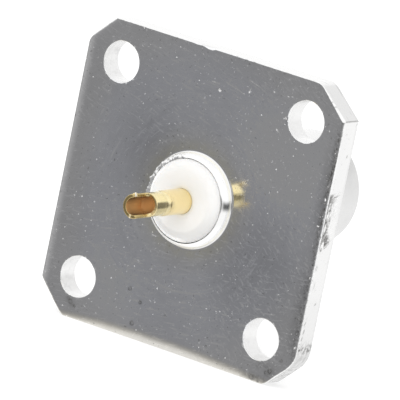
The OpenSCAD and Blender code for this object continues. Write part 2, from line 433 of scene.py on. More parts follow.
shade = k.add(
    tone,
    k.mul(arcs, 0.34),
    k.mul(scr, 0.19),
    k.mul(pit, -0.42),
    k.mul(grain, 0.05),
    # painted shade on the barrel: darkest along its top, and darker again low on its underside
    k.mul(barrel, k.add(k.mul(k.range(x, 1.5, 3.5, 0.25, 1.0), k.range(y, -3.5, 3.0, -0.05, -0.20)), k.mul(k.range(y, -3.2, -4.4), -0.10), k.mul(mott, 0.10))),
    # painted light: the collar is a lighter copy of the plating
    k.mul(lip, 0.065),
    # painted light: the screw holes' walls are a lighter copy of the plating, less so in mottled patches
    k.mul(bores, k.add(0.05, k.mul(k.range(mott, 0.02, 0.16), -0.07))),
    k.mul(grit, -0.42),
    k.mul(k.range(y, -3.0, -8.0), k.range(x, 12.5, 12.66), -0.06),
    k.mul(dusk, -0.20),
)
# a cold cast over the middle of the plate and a warm one close to the collar
warm = k.mul(k.range(r, 5.3, 4.2), k.range(mott, -0.2, 0.1, 0.35, 1.0), rear)
cold = k.mul(k.range(r, 4.9, 6.6), k.range(r, 14.0, 10.0), k.range(x, -12.0, -8.5), rear)
metal = k.comb(
    k.mul(shade, k.add(0.920, k.mul(warm, 0.02))),
    k.mul(shade, k.add(0.918, k.mul(cold, 0.012))),
    k.mul(shade, k.add(0.914, k.mul(cold, 0.052), k.mul(warm, -0.10))),
)
# dark colour of dirt and wear, also used as painted shade in the torn gouges of the right side
dirt_and_painted_shade = k.tint((0.21, 0.205, 0.195), k.add(0.75, k.mul(mott, 1.0), k.mul(grain, 0.6)))
col = k.mix(k.math("MINIMUM", wear_and_painted_light, 1.0), metal, dirt_and_painted_shade)
# dust is real; the glint attribute adds painted highlights on nicks, burrs, hole rims and torn metal, and the collar's
# painted pale lower left
white = k.math("MAXIMUM", dust, glint, clamp=True)
col = k.mix(white, col, (0.90, 0.90, 0.89, 1))
k.put(b.inputs["Base Color"], col)
k.put(b.inputs["Metallic"], k.range(white, 0.0, 1.0, 1.0, 0.1, "LINEAR"))
rough = k.add(
    0.095, k.mul(cloud, 0.06), k.mul(mott, 0.06), k.mul(grain, 0.03), k.mul(arcs, 0.05),
    k.mul(scr, 0.08), k.mul(pit, 0.20), k.mul(grit, 0.15), k.mul(wear_and_painted_light, 0.30), k.mul(white, 0.4), k.mul(barrel, 0.10), k.mul(bores, 0.26),
)
k.put(b.inputs["Roughness"], k.math("MINIMUM", k.math("MAXIMUM", rough, 0.05), 0.8))
h = k.add(k.mul(scr, 0.25), k.mul(pit, -1.0), k.mul(grit, -0.8), k.mul(mott, 0.12), k.mul(grain, 0.05))
k.put(b.inputs["Normal"], k.bump(h, 0.18, 0.00001))

# ------------------------------------------------------------------ white insulator
m_ptfe, k, b = new_mat("white_insulator")
mm, x, y, z, r = k.place()
soft = k.add(k.noise(mm, 1.1, 3.0, 0.5), -0.5)
fine = k.add(k.noise(mm, 14.0, 2.0, 0.5), -0.5)
turned = k.add(k.noise(k.comb(k.mul(r, 9.0), k.mul(z, 9.0), 0.0), 1.0, 2.0, 0.6), -0.5)
# painted shade on the crown: its rounded edge is darker, most at the bottom, and the lower part is slightly darker
edge = k.mul(k.range(r, 2.38, 2.68), k.range(z, 0.2, 0.6))
shade = k.add(1.0, k.mul(edge, k.range(y, 0.8, -2.2, -0.02, -0.15)), k.mul(k.range(y, 0.5, -3.0), -0.012), k.mul(soft, 0.05), k.mul(turned, 0.03), k.mul(fine, 0.02))
# painted highlight: a bright band on the crown's outer edge at the lower left
shade = k.add(shade, k.mul(k.range(r, 2.98, 3.16), k.range(x, 1.3, 0.1), k.range(y, 2.6, 1.2), 0.27))
# painted light: a warm tint in a ring round the pin's foot
glow = k.range(r, 1.42, 1.10)
k.put(b.inputs["Base Color"], k.mix(glow, k.tint((0.872, 0.866, 0.852), shade), k.tint((0.880, 0.850, 0.770), shade)))
k.put(b.inputs["Roughness"], k.add(0.42, k.mul(soft, 0.15), k.mul(turned, 0.12)))
b.inputs["Specular IOR Level"].default_value = 0.35
b.inputs["Subsurface Weight"].default_value = 0.25
b.inputs["Subsurface Radius"].default_value = (0.0010, 0.0009, 0.0008)
b.inputs["Subsurface Scale"].default_value = 0.6
k.put(b.inputs["Normal"], k.bump(k.add(turned, k.mul(fine, 0.4)), 0.2, 0.000012))

# ------------------------------------------------------------------ gilt contact
m_gold, k, b = new_mat("gilt_contact")
mm, x, y, z, r = k.place()
soft = k.add(k.noise(mm, 1.6, 3.0, 0.55), -0.5)
fine = k.add(k.noise(mm, 12.0, 3.0, 0.6), -0.5)
rings = k.add(k.noise(k.comb(k.mul(z, 16.0), k.mul(r, 6.0), 0.0), 1.0, 2.0, 0.6), -0.5)
wear_and_painted_light = k.attr("wear_and_painted_light")
bore = k.mul(k.range(r, 0.735, 0.708), k.range(z, 5.3, 5.5))
rim = k.attr("glint")
shade = k.add(1.0, k.mul(soft, 0.10), k.mul(fine, 0.06), k.mul(rings, 0.05))
# painted highlight: the neck is a lighter, paler copy of the gold
neck = k.mul(k.range(z, 4.3, 4.9), k.range(z, 6.6, 6.2), 0.8)
gold = k.mix(neck, k.tint((0.96, 0.798, 0.44), shade), k.tint((0.98, 0.86, 0.52), shade))
cross = k.add(k.mul(x, -math.sin(math.radians(20.0))), k.mul(y, math.cos(math.radians(20.0))))
# brown tarnish inside the cup, with painted shade darker towards the trough's two long sides and painted light growing
# deeper in the cup
bore_tarnish_and_shade = k.tint((0.47, 0.252, 0.088), k.math("MAXIMUM", k.add(k.range(z, 8.3, 6.2, 1.03, 1.50), k.mul(cross, cross, -2.0), k.mul(soft, 0.25), k.mul(rings, 0.08)), 0.25))
# the glint attribute holds the cut faces here; they are painted dark brownish gold: tarnish on the sawn faces, and a
# painted reflection of dark surroundings
col = k.mix(k.mul(rim, k.range(z, 6.45, 7.0, 0.35, 0.8)), k.mix(bore, gold, bore_tarnish_and_shade), (0.50, 0.37, 0.15, 1))
# painted highlights: burrs and a band round the cut's lower corner are painted pale gold to white and less metallic
col = k.mix(k.math("MINIMUM", wear_and_painted_light, 1.0), col, k.mix(k.range(wear_and_painted_light, 0.6, 0.9), (1.0, 0.83, 0.47, 1), (0.97, 0.95, 0.90, 1)))
k.put(b.inputs["Base Color"], col)
k.put(b.inputs["Metallic"], k.add(1.0, k.mul(k.math("MAXIMUM", bore, k.math("MINIMUM", wear_and_painted_light, 1.0)), -0.8)))
k.put(b.inputs["Roughness"], k.add(0.15, k.mul(soft, 0.10), k.mul(rings, 0.06), k.mul(bore, 0.45), k.mul(wear_and_painted_light, 0.1), k.mul(rim, 0.08)))
k.put(b.inputs["Normal"], k.bump(k.add(k.mul(rings, 0.5), k.mul(fine, 0.3)), 0.12, 0.000006))

# ------------------------------------------------------------------ plated body
# sizes of the CAD model, in mm
T = 2.2
LEFT, RIGHT, LOW, HIGH = -12.6, 12.7, -12.67, 12.53
CLIP_TL, CLIP_TR, CLIP_BR, CLIP_BL = 2.2, 2.45, 2.5, 2.55
PITCH, HOLE_R = 9.13, 1.72
COLLAR_R, COLLAR_H, BORE_R = 3.96, 0.9, 3.5
RIM_Z, BARREL_R, SHOULDER_R, SHOULDER_Z = -18.4, 4.825, 5.7, -6.4

# corners of the outline with their rounds, counter-clockwise from the lower left
CORNERS = [
    ((LEFT + CLIP_BL, LOW), 0.6), ((RIGHT - CLIP_BR, LOW), 1.0), ((RIGHT, LOW + CLIP_BR), 2.3),
    ((RIGHT, HIGH - CLIP_TR), 0.16), ((RIGHT - CLIP_TR - 0.38, HIGH), 1.35), ((LEFT + CLIP_TL, HIGH), 0.3),
    ((LEFT, HIGH - CLIP_TL), 1.2), ((LEFT, LOW + CLIP_BL), 0.5),
]


def outline():
    """Points of the rounded outline, with outward normals."""
    pts, nrm = [], []
    m = len(CORNERS)
    ends = []
    for i in range(m):
        B = np.array(CORNERS[i][0])
        a = np.array(CORNERS[i - 1][0]) - B
        c = np.array(CORNERS[(i + 1) % m][0]) - B
        a, c = a / np.linalg.norm(a), c / np.linalg.norm(c)
        rad = CORNERS[i][1]
        half = math.acos(float(a @ c)) / 2
        mid = (a + c) / np.linalg.norm(a + c)
        ends.append((B + a * rad / math.tan(half), B + c * rad / math.tan(half), B + mid * rad / math.sin(half), rad))
    for i in range(m):
        p0, p1, cen, rad = ends[i]
        a0 = math.atan2(*(p0 - cen)[::-1])
        a1 = math.atan2(*(p1 - cen)[::-1])
        if a1 < a0:
            a1 += 2 * math.pi
        n = max(4, int(math.ceil((a1 - a0) * rad / 0.07)))
        for t in np.linspace(a0, a1, n + 1):
            d = np.array([math.cos(t), math.sin(t)])
            pts.append(cen + d * rad)
            nrm.append(d)
        q = ends[(i + 1) % m][0]
        along = q - p1
        length = np.linalg.norm(along)
        out = np.array([along[1], -along[0]]) / length
        step = 0.052 if out[0] > 0.6 else 0.1
        n = int(round(length / step))
        for t in np.arange(1, n) / n:
            pts.append(p1 + along * t)
            nrm.append(out)
    return np.array(pts), np.array(nrm)


loop, norm = outline()
lx, ly = loop[:, 0], loop[:, 1]
NL = len(loop)


def bevel_width(x, y, n):
    """How far in the rear edge's break reaches, for each place on the outline."""
    dirs = np.array([[1, 0], [1, 1], [0, 1], [-1, 1], [-1, 0], [-1, -1], [0, -1], [1, -1]], float)
    dirs /= np.linalg.norm(dirs, axis=1)[:, None]
    wt = np.clip(n @ dirs.T, 0, 1) ** 24
    wt /= wt.sum(1)[:, None]
    rough = np.clip(fbm(x * 2.1, y * 2.1, 0, 5), -1, 1)
    fine = np.clip(fbm(x * 5.3, y * 5.3, 0, 9), -1, 1)
    notch = 0.19 * np.exp(-((x + 1.15) / 0.36) ** 2) * (x < -1.15) + 0.19 * np.exp(-((x + 1.15) / 0.5) ** 4) * (x >= -1.15)
    w = np.stack([
        0.05 + 0.09 * smooth(7.6, 9.6, y) + 0.08 * smooth(5.0, 3.9, y) * smooth(-9.9, -9.2, y) + (0.02 * fine + 0.015 * rough) * (1 - 0.85 * smooth(5.2, 4.4, y) * smooth(-2.8, -2.0, y)),
        0.17 + 0.042 * np.clip(x - y - 0.2, -2.6, 2.6) + 0.015 * fine,
        0.05 + 0.02 * fine + notch + 0.05 * np.exp(-((x + 2.3) / 0.3) ** 2),
        0.10 + 0.015 * rough,
        0.03 + 0.025 * np.clip(1 - (y / 9.6) ** 2, 0, 1) + 0.008 * fine,
        0.13 + 0.02 * rough,
        0.05 + 0.015 * fine,
        0.09 + 0.04 * rough + 0.03 * fine,
    ], 1)
    return np.clip((w * wt).sum(1), 0.02, 0.5)


BW = bevel_width(lx, ly, norm)
DROP = 0.85 * BW


def rub(x, y):
    """Drop of the rubbed lower edge and of the softened left edge and upper left clip."""
    line = LOW + 1.20 - 0.16 * ((x - 0.3) / 5.6) ** 2 + 0.04 * vnoise(x * 0.8, 0.3, 0, 31)
    s = np.clip(line - y, 0, None)
    rad = 3.7
    s = np.minimum(s, 1.6)
    soft = np.maximum(LEFT + 0.95 - x, 0.70 - (x - LEFT + HIGH - y - CLIP_TL) / math.sqrt(2))
    return rad - np.sqrt(rad * rad - s * s) + np.clip(soft, 0, 1.0) ** 2 / 13.4


# dents of the plate: place, radius, depth
DENTS = [
    (-3.98, -8.64, 0.20, 0.035), (-3.16, -11.35, 0.20, 0.035), (-3.70, -11.75, 0.09, 0.02), (-2.77, -9.48, 0.16, 0.02),
    (-9.4, -11.3, 0.22, 0.03), (-9.65, -11.1, 0.14, 0.02), (-8.9, -11.58, 0.13, 0.02), (10.56, -11.4, 0.22, 0.035),
    (10.2, -11.6, 0.16, 0.025), (11.42, -10.26, 0.15, 0.025), (0.63, 9.35, 0.15, 0.02), (3.4, 10.01, 0.16, 0.02),
    (-4.0, 3.91, 0.11, 0.018), (-6.29, 6.42, 0.11, 0.015), (-9.61, 0.75, 0.12, 0.018), (-5.96, -8.31, 0.14, 0.015),
    (11.47, 8.98, 0.11, 0.018), (-10.27, -4.11, 0.11, 0.014), (7.87, 2.91, 0.11, 0.014), (4.38, -5.03, 0.10, 0.014),
    (5.66, -5.09, 0.10, 0.014), (6.6, 7.75, 0.11, 0.014), (7.07, 8.84, 0.13, 0.03), (10.71, -4.54, 0.09, 0.014),
    (6.99, -2.38, 0.09, 0.013), (11.86, -7.86, 0.10, 0.016), (4.48, -8.12, 0.09, 0.012), (-9.31, -5.28, 0.10, 0.012),
]
# bright nicks by the right edge: place, half length, half width, turn
NICKS = [
    (12.40, 3.55, 0.16, 0.06, 105), (12.22, 1.27, 0.13, 0.07, 22), (12.46, -2.95, 0.15, 0.05, 80), (12.47, 2.2, 0.10, 0.04, 70),
    (12.42, -8.86, 0.15, 0.09, 40),
]


def rear_height(x, y, d, w):
    """Height of the rear face; d is the distance from the outline, w the width of its break there."""
    q = np.clip(1 - d / w, 0, 1)
    h = -0.85 * w * (1 - np.sqrt(np.clip(1 - q * q, 0, 1)))
    h = h - rub(x, y)
    for cx, cy, rad, deep in DENTS:
        s = np.hypot(x - cx, y - cy) / rad
        h = h - 0.3 * deep * np.clip(1 - s * s, 0, 1) ** 2
    for sx in (-1, 1):
        for sy in (-1, 1):
            e = np.hypot(x - sx * PITCH, y - sy * PITCH) - HOLE_R
            lip = 0.045 + 0.02 * vnoise((x - sx * PITCH) * 1.6, (y - sy * PITCH) * 1.6, sx * 7.5 + sy * 3.5, 61)
            t = np.clip(1 - e / lip, 0, 1)
            h = h - 0.8 * lip * (1 - np.sqrt(np.clip(1 - t * t, 0, 1)))
    # rough strip beside the right edge
    side = smooth(0.55, 0.05, RIGHT - x) * (0.35 + 0.65 * smooth(9.5, 8.0, y) * smooth(-3.5, -1.0, y))
    h = h + side * 0.016 * np.clip(fbm(x * 5.0, y * 3.4, 0, 71), -1, 0.6)
    # slow waves left by machining and handling
    h = h + 0.006 * vnoise(x * 0.16, y * 0.16, 0, 81) + 0.0012 * vnoise(x * 0.6, y * 0.6, 0, 82)
    return h


def rear_wear(v2):
    x, y = v2[:, 0], v2[:, 1]
    edge = smooth(0.70, 0.10, RIGHT - x)
    span = 0.25 + 0.75 * smooth(9.4, 8.0, y) * smooth(-2.2, -0.2, y)
    w = edge * span * (0.22 + 0.9 * np.clip(-0.02 + 2.0 * fbm(x * 6.5, y * 5.0, 0, 91), 0, 1))
    for cx, cy, rad, deep in DENTS[:10]:
        s = np.hypot(x - cx, y - cy) / rad
        w = np.maximum(w, (0.25 * smooth(1.0, 0.3, s) + 0.75 * np.exp(-((s - 0.75) / 0.32) ** 2)) * np.clip(0.75 + 0.8 * fbm(x * 6, y * 6, 0, 93), 0, 1))
    w = np.maximum(w, 0.40 * blob(x, y, -9.35, -11.35, 0.55, 0.30, -25) * np.clip(0.7 + fbm(x * 4, y * 4, 0, 94), 0, 1))
    w = np.maximum(w, 0.45 * blob(x, y, 10.55, -11.5, 0.6, 0.35, 40) * np.clip(0.6 + fbm(x * 4, y * 4, 0, 95), 0, 1))
    w = np.maximum(w, 1.0 * blob(x, y, 7.42, 8.77, 0.13, 0.26, 0) * np.clip(0.9 + 1.0 * fbm(x * 7, y * 7, 0, 97), 0, 1))
    w = np.maximum(w, 0.95 * blob(x, y, 9.35, -12.36, 0.95, 0.30, 0) * np.clip(0.55 + 1.7 * fbm(x * 5, y * 3, 0, 98), 0, 1))
    w = np.maximum(w, 0.60 * blob(x, y, 9.8, -11.15, 0.55, 0.28, 10) * np.clip(0.1 + 1.9 * fbm(x * 6, y * 6, 0, 99), 0, 1))
    # specks along the broken edges
    d, who = near(x, y, loop)
    w = w * smooth(0.75, 1.25, d / BW[who])
    chips = smooth(0.35, 0.05, d) * np.where(RIGHT - x < 0.4, smooth(0.9, 1.4, d / BW[who]), 1.0) * np.clip(fbm(x * 6.0, y * 6.0, 0, 96) * 2.2 - 0.75, 0, 1) * (y > -12)
    return np.clip(np.maximum(w, 0.7 * chips), 0, 1)


def rear_glint(v2):
    x, y = v2[:, 0], v2[:, 1]
    g = np.zeros(len(x))
    for cx, cy, a, b_, turn in NICKS:
        s = blob(x, y, cx, cy, a, b_, turn)
        g = np.maximum(g, smooth(0.35, 0.75, s * (1 + 0.35 * vnoise(x * 7, y * 7, 0, 101))))
    for cx, cy, rad, deep in DENTS[10:]:
        s = np.hypot(x - cx, y - cy) / rad
        g = np.maximum(g, 0.45 * smooth(0.7, 0.25, s))
    for sx in (-1, 1):
        for sy in (-1, 1):
            e = np.hypot(x - sx * PITCH, y - sy * PITCH) - HOLE_R
            g = np.maximum(g, 0.7 * smooth(0.12, 0.04, e) * np.clip(vnoise(x * 7, y * 7, 0, 104 + sx + 3 * sy) * 3.0 - 1.7, 0, 1))
    edge = smooth(0.4, 0.08, RIGHT - x) * smooth(9.5, 8.2, y)
    g = np.maximum(g, 0.7 * edge * np.clip(vnoise(x * 9, y * 6.0, 0, 103) * 3.0 - 2.3, 0, 1))
    return g


body = Build()

# rear face: outline, hole rims and collar as fixed loops, with points between
# them that crowd where the face is broken, dented or rubbed
face = Flat()
face.loop(loop)
HOLE_N, TURN_N = 88, 240
ha = np.arange(HOLE_N) * 2 * math.pi / HOLE_N
holes = []
for sx in (-1, 1):
    for sy in (-1, 1):
        hl = np.stack([sx * PITCH + HOLE_R * np.cos(ha), sy * PITCH + HOLE_R * np.sin(ha)], 1)
        holes.append((sx, sy, hl))
        face.loop(hl)
ta = np.arange(TURN_N) * 2 * math.pi / TURN_N
FOOT = 4.02
face.loop(np.stack([FOOT * np.cos(ta), FOOT * np.sin(ta)], 1))

free = []
for share in (0.05, 0.18, 0.4, 0.7, 1.0, 1.35):
    off = BW * share
    free.append(np.stack([lx - norm[:, 0] * off, ly - norm[:, 1] * off], 1)[(0 if share in (0.05, 0.4, 1.0) else 1)::1 if share < 0.9 else 2])
for off, skip in ((0.28, 3), (0.5, 5), (0.75, 6), (1.0, 7)):
    inner = np.stack([lx - norm[:, 0] * off, ly - norm[:, 1] * off], 1)[::skip]
    free.append(inner[near(inner[:, 0], inner[:, 1], loop)[0] > 0.8 * off])
for sx, sy, hl in holes:
    for off in (0.015, 0.04, 0.08, 0.2):
        free.append(np.array([sx, sy]) * PITCH + (hl - np.array([sx, sy]) * PITCH) * (1 + off / HOLE_R))
for off in (0.1, 0.3):
    free.append(np.stack([(FOOT + off) * np.cos(ta), (FOOT + off) * np.sin(ta)], 1)[::2])
gx, gy = np.meshgrid(np.arange(-12.4, 12.5, 0.42), np.arange(-12.4, 12.5, 0.42))
gx = gx + (np.arange(gx.shape[0]) % 2)[:, None] * 0.21
free.append(np.stack([gx.ravel(), gy.ravel()], 1))
gx, gy = np.meshgrid(np.arange(-10.6, 10.7, 0.17), np.arange(LOW + 0.08, LOW + 1.5, 0.10))
free.append(np.stack([gx.ravel(), gy.ravel()], 1))
gx, gy = np.meshgrid(np.arange(RIGHT - 0.78, RIGHT - 0.08, 0.075), np.arange(-10.4, 10.2, 0.08))
gx = gx + (np.arange(gx.shape[0]) % 2)[:, None] * 0.037
free.append(np.stack([gx.ravel(), gy.ravel()], 1))
gx, gy = np.meshgrid(np.arange(6.95, 7.46, 0.042), np.arange(8.52, 9.14, 0.042))
free.append(np.stack([gx.ravel(), gy.ravel()], 1))
for cx, cy, rad, deep in DENTS:
    for s, m in ((0.0, 1), (0.25, 7), (0.5, 10), (0.75, 14), (1.0, 16), (1.3, 18)):
        a = np.arange(m) * 2 * math.pi / m + s * 3
        free.append(np.stack([cx + rad * s * np.cos(a), cy + rad * s * np.sin(a)], 1))
free = np.concatenate(free)
dist, who = near(free[:, 0], free[:, 1], loop)
keep = inside(free[:, 0], free[:, 1], loop) & (dist > 0.006) & (dist > 0.92 * np.minimum(BW[who] * 0.05, 1))
for step in (-1, 1):
    along = loop[(who + step) % NL] - loop[who]
    part = np.clip(((free - loop[who]) * along).sum(1) / (along ** 2).sum(1), 0, 1)
    keep &= np.hypot(*(free - loop[who] - part[:, None] * along).T) > 0.004
rr = np.hypot(free[:, 0], free[:, 1])
keep &= rr > FOOT + 0.05
for sx, sy, hl in holes:
    keep &= np.hypot(free[:, 0] - sx * PITCH, free[:, 1] - sy * PITCH) > HOLE_R + 0.008
free = free[keep]
# drop points that crowd each other
cell = np.round(free / 0.028).astype(np.int64)
_, first = np.unique(cell[:, 0] * 100003 + cell[:, 1], return_index=True)
face.free(free[np.sort(first)])


def rear_lift(v2):
    d, i = near(v2[:, 0], v2[:, 1], loop)
    d = np.where(d < 1e-4, 0.0, d)
    return np.stack([v2[:, 0], v2[:, 1], rear_height(v2[:, 0], v2[:, 1], d, BW[i])], 1)


body.fill(face, rear_lift, rear_wear, rear_glint)

# outer side: from the broken rear edge down to the front face
edge_z = rear_lift(loop)[:, 2]
share = np.concatenate([[0, 0.012, 0.03, 0.055], np.linspace(0.085, 0.62, 13), np.linspace(0.68, 1, 7)])
FRONT_B = 0.12
on_right = norm[:, 0] > 0.9
# dark marks of the right side: place along it, depth below the rear face, half length, half width
MARKS = [
    (-2.15, 0.30, 0.22, 0.16), (-3.65, 0.48, 0.26, 0.10), (-3.95, 0.80, 0.16, 0.08), (-6.75, 0.36, 0.34, 0.09), (-7.45, 0.40, 0.30, 0.10),
    (-8.05, 0.32, 0.22, 0.10), (9.0, 0.62, 0.12, 0.12), (5.2, 0.40, 0.16, 0.08), (-5.3, 1.30, 0.16, 0.10), (7.1, 1.40, 0.14, 0.09),
]
on_br = (norm[:, 0] > 0.3) & (norm[:, 1] < -0.15)
rows = []
for j, t in enumerate(share):
    zz = edge_z + (-(T - FRONT_B) - edge_z) * t
    deep = -zz
    n1 = fbm(lx * 2.6 + ly * 2.6, zz * 3.2, 0, 201)
    n2 = fbm(lx * 6.0 + ly * 6.0, zz * 7.0, 0, 202)
    # torn patch on the right side: a dark core beside the edge, wider at its lower end, and lighter scars beyond
    n3 = fbm(ly * 2.4 + zz * 0.6, zz * 4.4, 0, 206)
    crack = np.clip(1 - np.abs(fbm(ly * 1.9 + zz * 0.8, zz * 2.2, 0, 207)) / 0.09, 0, 1)
    wide = smooth(1.1, -0.1, ly)
    span = smooth(4.05, 3.75, ly + 0.12 * n1 - 0.2 * deep) * smooth(-0.80, -0.55, ly - 0.54 * (deep - 0.47) + 0.05 * n2) * on_right
    core = span * smooth(0.11, 0.19, deep) * smooth(1.0 + 0.65 * wide + 0.3 * n1, 0.6 + 0.65 * wide + 0.3 * n1, deep)
    scar = span * smooth(0.25, 0.6, deep) * smooth(1.85, 1.35, deep + 0.3 * n1)
    cut = core * (0.03 + 0.08 * smooth(-0.30, 0.35, n3)) + scar * 0.03 * np.clip(0.5 + n3, 0, 1)
    # bruised lower right corner
    bruise = (norm[:, 0] > 0.3) * smooth(-8.3, -8.9, ly) * (0.03 * np.clip(0.3 + n1, 0, 1) + 0.03 * np.clip(n2, 0, 1))
    bruise = bruise * smooth(0.02, 0.2, deep)
    small = 0.006 * np.clip(n1, -1, 1) * smooth(0.0, 0.2, deep)
    dent_top = 0.10 * np.exp(-((lx + 1.6) / 0.75) ** 2) * np.exp(-((deep - 0.45) / 0.28) ** 2) * (norm[:, 1] > 0.9)
    off = cut + bruise + np.clip(small, 0, None) + dent_top
    off = off * smooth(0, 0.03, t * 2.0) * smooth(1.0, 0.9, t)
    p = np.stack([lx - norm[:, 0] * off, ly - norm[:, 1] * off, zz], 1)
    # the torn core is painted dark: worn metal, deepened with painted shade
    w = core * np.clip(0.70 + 1.1 * n3 + 0.45 * n2, 0, 1) * 0.92
    w = np.maximum(w, on_right * blob(ly, deep, 3.74, 0.96, 0.50, 0.06, 74) * 0.85)
    w = np.maximum(w, on_right * blob(ly, deep, -0.25, 1.02, 0.62, 0.07, 61) * np.clip(0.75 + 0.6 * n2, 0, 1) * 0.9)
    w = np.maximum(w, scar * crack * np.clip(0.35 + 0.9 * n2, 0, 1) * 0.75)
    for my, md, mh, mw in MARKS:
        w = np.maximum(w, on_right * blob(ly, deep, my, md, mh, mw, 12) * np.clip(0.35 + 1.8 * n2, 0, 1) * 0.8)
    knock = np.exp(-((ly + 9.05) / 0.45) ** 2) * (norm[:, 0] > 0.3)
    w = np.maximum(w, on_br * smooth(-8.6, -9.2, ly) * (0.15 + 0.24 * np.clip(n1 + 0.25, 0, 1)) * smooth(0.05, 0.2, deep))
    w = np.maximum(w, (norm[:, 0] > 0.3) * (0.10 + 0.32 * on_br) * smooth(T - 0.42, T - 0.20, deep) * np.clip(0.7 + 0.8 * n1, 0, 1))
    w = np.maximum(w, knock * np.clip(0.55 + 1.3 * n2 + 0.6 * n1, 0, 1) * 0.85 * smooth(0.08, 0.2, deep))
    w = np.maximum(w, on_br * np.clip(2.0 * n2 - 0.65, 0, 1) * 0.45 * smooth(0.05, 0.2, deep))
    w = np.maximum(w, 0.45 * np.clip(dent_top / 0.10 - 0.35, 0, 1))
    # dark corner line where the clipped corner meets the right side
    corner = np.exp(-(((lx - RIGHT) ** 2 + (ly - (HIGH - CLIP_TR)) ** 2) / 0.06 ** 2)) * 0.9
    w = np.maximum(w, corner * (0.75 + 0.25 * np.clip(n2, -1, 1)))
    on_top = norm[:, 1] > 0.9
    w = np.maximum(w, on_top * (0.34 * blob(lx, deep, 9.64, 0.84, 0.34, 0.05, 18) + 0.28 * blob(lx, deep, 9.09, 1.60, 0.36, 0.05, 18)))
    # small marks elsewhere
    w = np.maximum(w, np.clip(n2 * 2.4 - 1.35, 0, 1) * 0.4 * (norm[:, 0] > 0.3))
    if j == 0:
        w = np.minimum(w, 0.3)
    g = np.maximum(core * smooth(-0.20, -0.38, n3 + 0.3 * n2), scar * 0.7 * smooth(0.18, 0.40, n2))
    rows.append(body.add(p, np.clip(w, 0, 1), np.clip(g, 0, 1)))
for inset, zz in ((0.03, -(T - 0.045)), (FRONT_B, -T)):
    w = (norm[:, 0] > 0.3) * np.clip(0.12 + 0.30 * (norm[:, 1] < -0.15) + 0.35 * fbm(lx * 2.0 + ly * 2.0, zz, 0, 208), 0, 0.6)
    rows.append(body.add(np.stack([lx - norm[:, 0] * inset, ly - norm[:, 1] * inset, np.full(NL, zz)], 1), w))
body.grid(np.array(rows))
front_loop = np.stack([lx - norm[:, 0] * FRONT_B, ly - norm[:, 1] * FRONT_B], 1)

# screw holes
for sx, sy, hl in holes:
    c = np.array([sx, sy]) * PITCH
    top = rear_lift(hl)
    a = np.arctan2(hl[:, 1] - c[1], hl[:, 0] - c[0])
    rows = [body.add(top)]
    for depth in (0.10, 0.25, 0.5, 0.8, 1.1, 1.4, 1.7, 1.95, T - 0.1):
        ridge = 0.006 * vnoise(a * 2.5, depth * 6.0, sx * 3 + sy, 301)
        q = c + (hl - c) * (1 + np.clip(ridge, 0, 1)[:, None] / HOLE_R)
        rows.append(body.add(np.stack([q[:, 0], q[:, 1], np.full(len(q), -depth)], 1)))
    q = c + (hl - c) * (1 + 0.10 / HOLE_R)
    rows.append(body.add(np.stack([q[:, 0], q[:, 1], np.full(len(q), -T)], 1)))
    body.grid(np.array(rows))

# front face
face = Flat()
face.loop(front_loop)
for sx, sy, hl in holes:
    c = np.array([sx, sy]) * PITCH
    face.loop(c + (hl - c) * (1 + 0.10 / HOLE_R))
NECK = SHOULDER_R + 0.1
face.loop(np.stack([NECK * np.cos(ta), NECK * np.sin(ta)], 1))
gx, gy = np.meshgrid(np.arange(-12.1, 12.2, 0.9), np.arange(-12.1, 12.2, 0.9))
fr = np.stack([gx.ravel(), gy.ravel()], 1)
d0, _ = near(fr[:, 0], fr[:, 1], front_loop)
ok = inside(fr[:, 0], fr[:, 1], front_loop) & (d0 > 0.3) & (np.hypot(fr[:, 0], fr[:, 1]) > NECK + 0.3)
for sx, sy, hl in holes:
    ok &= np.hypot(fr[:, 0] - sx * PITCH, fr[:, 1] - sy * PITCH) > HOLE_R + 0.35
face.free(fr[ok])
body.fill(face, lambda v2: np.stack([v2[:, 0], v2[:, 1], np.full(len(v2), -T)], 1))

# collar: foot, wall, rounded rim with burrs on its upper left, and the bore
LIP_W = COLLAR_R - BORE_R
LIP = (COLLAR_H ** 2 + LIP_W ** 2) / (2 * LIP_W)
prof = [(FOOT, 0.0), (COLLAR_R + 0.02, 0.008), (COLLAR_R + 0.004, 0.025)]
for t in np.linspace(0.05, math.asin(COLLAR_H / LIP), 20):
    prof.append((COLLAR_R - LIP + LIP * math.cos(t), LIP * math.sin(t)))
RIM_TO = len(prof) - 1
prof += [(BORE_R, 0.4), (BORE_R, -3.0), (BORE_R, RIM_Z + 9.0),
         (3.2, RIM_Z + 9.0), (3.2, RIM_Z + 8.4), (BORE_R, RIM_Z + 8.4), (BORE_R, RIM_Z + 7.6), (BORE_R, RIM_Z + 7.1),
         (4.065, RIM_Z + 5.0), (4.065, RIM_Z + 3.0), (4.065, RIM_Z + 0.36)]
for t in np.linspace(0, 45, 4):
    prof.append((4.065 + 0.28 * (1 - math.cos(math.radians(t))) / (1 - math.cos(math.radians(45))) * 0.3, RIM_Z + 0.36 - 0.1 * math.sin(math.radians(t))))
prof += [(4.345, RIM_Z + 0.01), (4.40, RIM_Z), (BARREL_R - 0.32, RIM_Z)]
for t in np.linspace(0, 90, 8)[1:]:
    prof.append((BARREL_R - 0.32 + 0.32 * math.sin(math.radians(t)), RIM_Z + 0.32 - 0.32 * math.cos(math.radians(t))))
BARREL_TOP = prof[-1][1]


